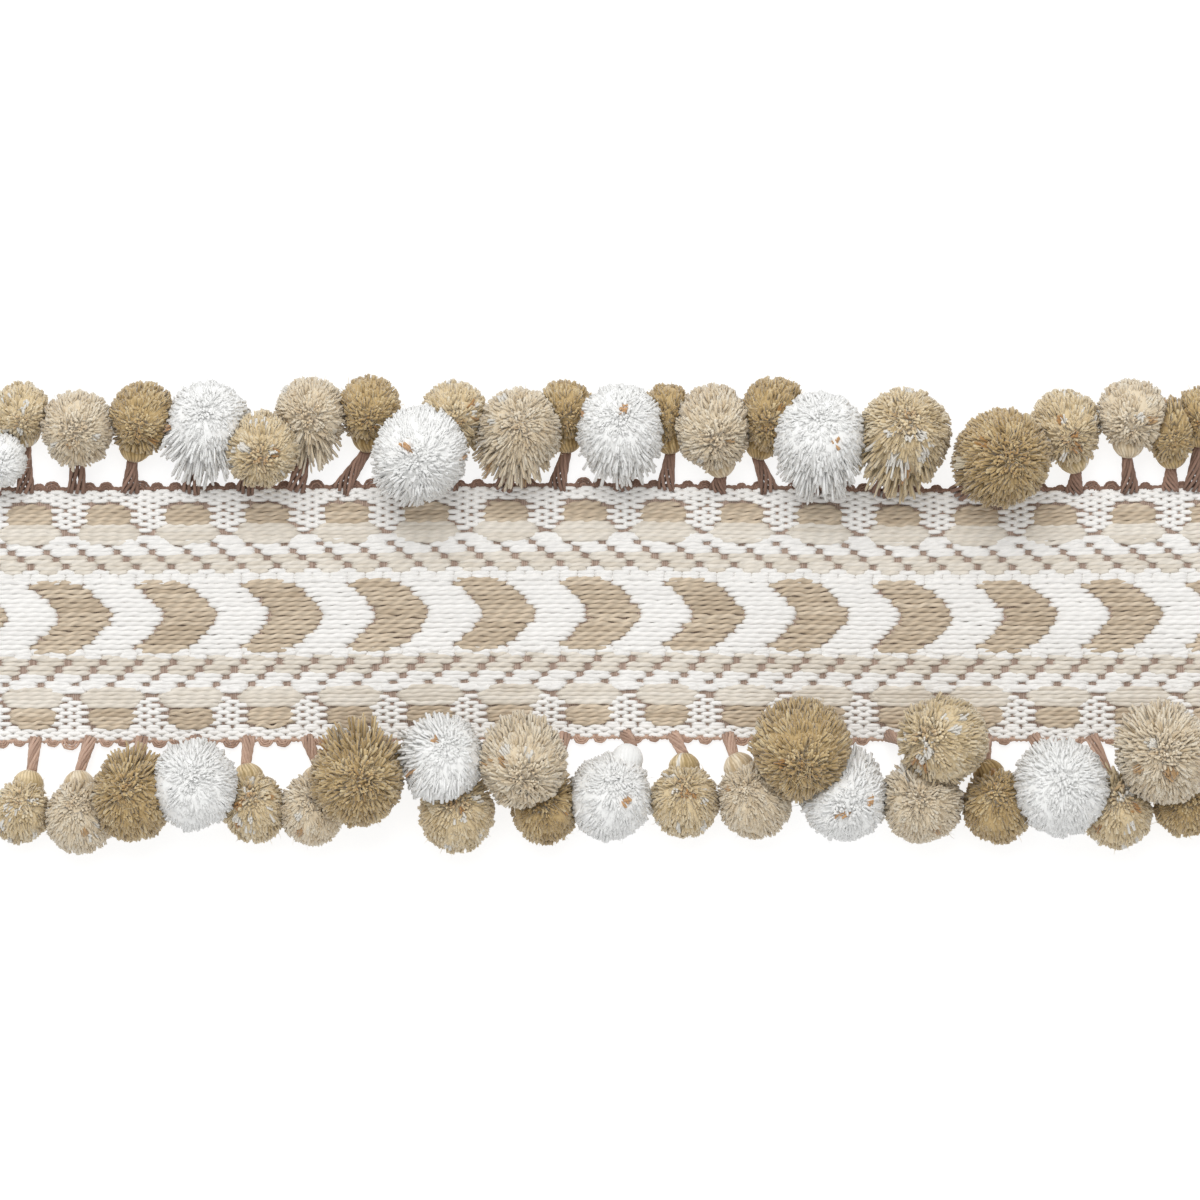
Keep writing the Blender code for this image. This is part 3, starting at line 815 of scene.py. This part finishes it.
def buildNeck(tassel):
    # the yarn wound round below the head: a helix, radius * (cos, sin) of its angle + length * t along the axis
    axis = tassel["axis"]
    t = np.linspace(0, 1, wound["neckTurns"] * wound["perTurn"])
    side, above = squareTo(axis)
    angle = 2 * math.pi * wound["neckTurns"] * t
    path = tassel["headMiddle"] + axis * wound["radius"] * wound["neckAt"]
    path = path + wound["neckRadius"] * (np.cos(angle)[:, None] * side + np.sin(angle)[:, None] * above)
    path = path + axis * wound["neckLength"] * t[:, None]
    shape = tubes(path[None], wound["neckThread"], 5, up=axis)
    # the neck's depth of 0.85 paints a little shade on it
    shape["marks"] = yarnMarks(len(shape["points"]), 0.55, 0.85)
    return shape


def bent(root, middle, tips, places):
    # points at the given places on each strand's curve: (1-t)^2 root + 2t(1-t) middle + t^2 tip
    t = np.array(places)[None, :, None]
    return (1 - t) ** 2 * root[:, None] + 2 * t * (1 - t) * middle[:, None] + t ** 2 * tips[:, None]


def startWays(ways, burst, lean):
    # where a strand comes from: its tip's direction, moved over the ball's skin towards the burst
    towards = burst - (ways @ burst)[:, None] * ways
    return unit(ways + towards * lean + chance.normal(0, pompom["leanSpread"], ways.shape))


def buildStrands(tassel):
    # strands from inside the ball to its skin, drawn together in tufts: tip = skin * (1 + ragged - dimple).
    # Those on the tape's side hang out by skirt * nearness * chance^1.5
    yarn, burst = tassel["yarn"], tassel["burst"]
    ways = evenWays(strandCount(tassel), pompom["strandShake"])
    keep = (ways[:, 2] > pompom["undersideFrom"]) | (chance.random(len(ways)) < pompom["undersideShare"])
    ways = ways[keep & clearOfHead(tassel, ways)]
    count = len(ways)
    tufts = evenWays(max(count // pompom["tuftSize"], 8), 1.2)
    near = (ways @ tufts.T).argmax(1)
    ways = unit(ways + (tufts[near] - ways) * pompom["tuftPull"])
    far = ballReach(tassel, ways)[:, None]
    ragged = chance.normal(0, pompom["ragged"], len(tufts))[near] + chance.normal(0, pompom["ragged"], count)
    dimple = pompom["dimple"] * nearness(ways, burst, pompom["dimpleFrom"])
    inner = startWays(ways, burst, pompom["lean"])
    hang = nearness(ways, tassel["toTape"], pompom["skirtFrom"]) * chance.random(count) ** 1.5
    hang = tassel["ball"] * (hang * tassel["skirt"])[:, None]
    tips = ways * (far * (1 + np.clip(ragged, *pompom["raggedMost"]) - dimple)[:, None] + hang)
    tips[:, 2:] -= hang * pompom["skirtDrop"]
    bend = unit(inner * pompom["bendLean"] + ways * (1 - pompom["bendLean"])) * far * pompom["bendReach"]
    paths = tassel["centre"] + bent(inner * far * pompom["strandRoot"], bend, tips, pompom["rings"])
    width = yarn["strandWidth"] * mm * (0.75 + 0.5 * chance.random((count, 1)))
    up = chance.normal(size=(count, 1, 3))
    shape = tubes(paths, width * np.array(pompom["ringWidths"]), 3, up=up, pointed=True)
    tone = 0.5 * chance.random(len(tufts))[near] + 0.5 * chance.random(count)
    owner = shape["owner"]
    pale, rust = np.zeros(count), np.zeros(count)
    for mark, number in ((pale, yarn["paleTufts"]), (rust, yarn["rustTufts"])):
        if number:
            picked = evenWays(number * 3, 3.0)[:number]
            mark[(ways @ picked.T).max(1) > math.cos(math.radians(pompom["fleckAngle"]))] = 1.0
    # painted shade: strands near the burst take the rust colour, darker and warmer, for the hollow where strands
    # part
    nearBurst = nearness(ways, burst, pompom["burstShadeFrom"]) * yarn["burstRustShade"]
    rust = np.maximum(rust, nearBurst * (chance.random(count) < pompom["burstShadeShare"])) * (1 - pale)
    # depth, the painted shade along a strand: low at the root, 1 from 1/1.3 of the way out
    depth = np.minimum(shape["along"] * 1.3, 1.0)
    shape["marks"] = yarnMarks(len(owner), tone[owner], depth, pale[owner], rust[owner])
    return shape


def buildFuzz(tassel):
    # single fibres: thin needles whose tips stand out of the skin by up to the fuzz's reach * chance^2
    ways = evenWays(strandCount(tassel, tassel["yarn"]["fuzz"]), 1.5)
    ways = ways[(ways[:, 2] > pompom["undersideFrom"]) & clearOfHead(tassel, ways)]
    far = ballReach(tassel, ways)[:, None]
    tips = tassel["centre"] + ways * far * (1.0 + pompom["fuzzOut"] * chance.random((len(ways), 1)) ** 2)
    root = tassel["centre"] + startWays(ways, tassel["burst"], pompom["lean"] * 0.7) * far * 0.9
    up = chance.normal(size=(len(ways), 1, 3))
    shape = tubes(np.stack([root, tips], axis=1), pompom["fuzzWidth"], 3, up=up, pointed=True)
    tone = (0.5 + 0.5 * chance.random(len(ways)))[shape["owner"]]
    # painted shade: the fibres' roots are darker, depth 0.6 at the root up to 1 at the tip
    shape["marks"] = yarnMarks(len(tone), tone, 0.6 + 0.4 * shape["along"])
    return shape


def buildHairs(tassel):
    # a few loose fibres that bend well out of the ball
    count, centre = pompom["hairs"], tassel["centre"]
    ways = unit(chance.normal(size=(count, 3)) * (1, 1, 0.5))
    skin = ways * ballReach(tassel, ways)[:, None]
    least, more = pompom["hairOut"]
    tips = centre + skin * (1 + least + more * chance.random((count, 1)))
    lead = chance.normal(0, 0.1 * tassel["ball"], (count, 3))
    root = centre + skin * 0.8
    paths = bent(root, (root + tips) / 2 + lead, tips, np.linspace(0, 1, 5))
    widths = pompom["hairWidth"] * np.array([1, 1, 0.9, 0.7, 0])
    shape = tubes(paths, widths, 3, up=chance.normal(size=(count, 1, 3)), pointed=True)
    shape["marks"] = yarnMarks(len(shape["points"]), 0.7, 1.0)
    return shape


yarnFinishes = {name: cutYarn(name.replace("_", " "), yarn) for name, yarn in yarns.items()}
hangerEnds = {"top": [], "bottom": []}
for side, rows in tasselRows.items():
    for number, row in enumerate(rows, start=1):
        node = f"tassel_{side}_{number:02d}"
        tassel = measured(node, 1 if side == "top" else -1, dict(zip(tasselColumns, row)))
        shapes = [buildCore(tassel), buildStrands(tassel), buildFuzz(tassel), buildHairs(tassel)]
        if tassel["head"]:
            shapes += [buildHead(tassel), buildNeck(tassel)]
        whole = joined(shapes)
        whole["points"][:, 2] = np.maximum(whole["points"][:, 2], pompom["lowest"])
        piece = putPiece(node.replace("tassel", "pompom"), whole, yarnFinishes[slotOf[node]])
        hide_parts(node)
        headEnd = tassel["headMiddle"] - tassel["axis"] * wound["radius"] * 0.9 * tassel["head"]
        hangerEnds[side].append((tassel["hanger"] * mm, *headEnd))
print("tassels made")


# the edge combs: a twisted rim, picots and hanger threads

comb = {
    "level": 1.0 * mm,
    "rimRadius": 0.6 * mm, "rimOut": 0.2 * mm, "rimTurn": 2.3 * mm, "rimSteps": 640, "rimLobes": 0.3,
    "picotPitch": 4.23 * mm, "picotHeight": 1.9 * mm, "picotWide": 1.6 * mm, "picotThreads": 3,
    "picotJitter": 0.25 * mm, "picotSpread": 0.14, "picotRoot": 0.3 * mm, "picotMargin": 2.3 * mm,
    "picotNest": {"wide": 0.5 * mm, "high": 0.27, "up": 0.16 * mm},  # from one nested arch to the next
    "picotEnds": 2.2 * mm, "threadRadius": 0.33 * mm,
    "hangerThreads": 8, "hangerSpread": {1: 2.0 * mm, -1: 1.25 * mm}, "hangerTip": 0.85 * mm,
    "hangerRadius": 0.45 * mm, "hangerIn": 0.7 * mm, "hangerUp": 0.4 * mm, "hangerArch": 0.5 * mm,
    "hangerWinding": (0.35, 0.25),  # turns from the tape to the head: least, and how much more at most
}


def buildRim(side):
    # one twisted thread along the edge: place = edge + rimOut, twist = one turn in each rimTurn
    x = np.linspace(tapeLow.x + tape["endMargin"], tapeHigh.x - tape["endMargin"], comb["rimSteps"])
    path = np.stack([x, edgeAt(x, side) + side * comb["rimOut"], np.full(len(x), comb["level"])], axis=-1)
    turns = 2 * math.pi * x / comb["rimTurn"]
    return tubes(path[None], comb["rimRadius"], 5, lobes=comb["rimLobes"], turns=turns[None])


def buildPicots(side, hangers):
    # each picot is a few nested arches: along = width * cos, outward = height * sin ^ 0.8
    nest, each = comb["picotNest"], comb["picotThreads"]
    places = np.arange(-35, 36) * comb["picotPitch"] + chance.normal(0, comb["picotJitter"], 71)
    free = np.abs(places[:, None] - hangers).min(1) > comb["picotMargin"]
    places = places[free & (np.abs(places) < tapeHigh.x - comb["picotEnds"])]
    middle = np.repeat(places, each)[:, None]
    level = np.tile(np.arange(each), len(places))[:, None]
    swell = np.repeat(1 + chance.normal(0, comb["picotSpread"], len(places)), each)[:, None]
    angle = np.linspace(0, math.pi, 8)
    wide = (comb["picotWide"] - nest["wide"] * level) * swell
    high = comb["picotHeight"] * (1 - nest["high"] * level) * swell
    x = middle - wide * np.cos(angle)
    y = edgeAt(x, side) + side * (high * np.sin(angle) ** 0.8 - comb["picotRoot"])
    z = comb["level"] + 0.1 * mm + nest["up"] * level + 0.25 * mm * np.sin(angle) + 0 * x
    return tubes(np.stack([x, y, z], axis=-1), comb["threadRadius"], 5, lobes=0.28, turns=3.2 * angle[None])


def buildHangers(side, rows):
    # threads that leave the tape spread out and wind round each other to the head:
    # offset = spread * (cos, sin) of (own angle + winding * t), and the spread narrows to the tip
    rows = np.array(rows)
    count, each = len(rows), comb["hangerThreads"]
    inside = edgeAt(rows[:, 0], side) - side * comb["hangerIn"]
    start = np.stack([rows[:, 0], inside, np.full(count, comb["level"] + comb["hangerUp"])], axis=-1)
    end = rows[:, 1:]
    t = np.linspace(0, 1, 9)
    line = start[:, None] + (end - start)[:, None] * t[:, None]
    line[..., 2] += comb["hangerArch"] * np.sin(math.pi * t)
    ahead = unit(end - start)
    beside, above = squareTo(ahead)
    own = 2 * math.pi * np.arange(each) / each
    least, more = comb["hangerWinding"]
    winding = 2 * math.pi * (least + more * chance.random(count)) * chance.choice([-1, 1], count)
    angle = own[None, :, None] + winding[:, None, None] * t
    spread = comb["hangerTip"] + (comb["hangerSpread"][side] - comb["hangerTip"]) * (1 - t) ** 1.3
    paths = (
        line[:, None]
        + (spread * np.cos(angle))[..., None] * beside[:, None, None]
        + (0.5 * spread * np.sin(angle))[..., None] * above[:, None, None]
    ).reshape(-1, len(t), 3)
    paths[..., 2] = np.maximum(paths[..., 2], comb["hangerRadius"] + 0.1 * mm)
    return tubes(paths, comb["hangerRadius"], 5, lobes=0.12, turns=2 * math.pi * 2.2 * t[None])


# the same brown thread twice: the top copy painted darker as shade from the tassels over it, the bottom copy painted
# lighter as lit
edgeFinishes = {
    "top": brownThread("edge thread top shaded", (0.13, 0.075, 0.052), (0.40, 0.25, 0.19)),
    "bottom": brownThread("edge thread bottom lit", (0.27, 0.165, 0.12), (0.69, 0.485, 0.375)),
}
for name, side in (("top", 1), ("bottom", -1)):
    hangers = np.array(hangerEnds[name])[:, 0]
    shapes = [buildRim(side), buildPicots(side, hangers), buildHangers(side, hangerEnds[name])]
    for shape in shapes:
        # each thread's own random tone, with painted shade between its plies where groove is low
        own = chance.random(shape["owner"].max() + 1)[shape["owner"]]
        shape["marks"] = {"tone": own * 0.7 + 0.15 + 0.15 * shape["groove"]}
    piece = putPiece(f"edge_threads_{name}", joined(shapes), edgeFinishes[name])
    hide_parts(f"comb_{name}")
print("edges made")


# floor, light and camera

studio = {
    "viewWide": 0.288, "middleY": 3.24 * mm, "lens": 200.0, "floorDrop": 0.1 * mm, "floorSize": 6.0,
    "worldLight": 0.72, "keyPower": 10.5, "keyPlace": (-0.15, 0.75, 1.25), "keySize": 0.9,
}


def buildStudio():
    scene = bpy.context.scene
    half = studio["floorSize"] / 2
    mesh = bpy.data.meshes.new("floor")
    corners = [(-half, -half, 0), (half, -half, 0), (half, half, 0), (-half, half, 0)]
    mesh.from_pydata(corners, [], [(0, 1, 2, 3)])
    finish = Finish(
        "floor", Roughness=1.0, Base_Color=(0.3, 0.3, 0.3, 1.0), IOR=1.0,
        Emission_Color=(1.0, 1.0, 1.0, 1.0), Emission_Strength=0.8,
    )
    mesh.materials.append(finish.material)
    floor = bpy.data.objects.new("floor", mesh)
    floor.location.z = -studio["floorDrop"]
    scene.collection.objects.link(floor)
    world = bpy.data.worlds.new("studio")
    world.use_nodes = True
    sky = world.node_tree.nodes["Background"].inputs
    sky["Color"].default_value = (1.0, 1.0, 1.0, 1.0)
    sky["Strength"].default_value = studio["worldLight"]
    scene.world = world
    lamp = bpy.data.lights.new("key", "AREA")
    lamp.energy = studio["keyPower"]
    lamp.size = studio["keySize"]
    key = bpy.data.objects.new("key", lamp)
    key.location = studio["keyPlace"]
    key.rotation_euler = (-key.location).to_track_quat("-Z", "Y").to_euler()
    scene.collection.objects.link(key)
    camera = bpy.data.objects.new("camera", bpy.data.cameras.new("camera"))
    camera.data.lens = studio["lens"]
    away = studio["viewWide"] / camera.data.sensor_width * camera.data.lens
    camera.location = (0.0, studio["middleY"], away + tapeHigh.z)
    scene.collection.objects.link(camera)
    scene.camera = camera
    scene.view_settings.view_transform = "Standard"


buildStudio()
print("studio built")
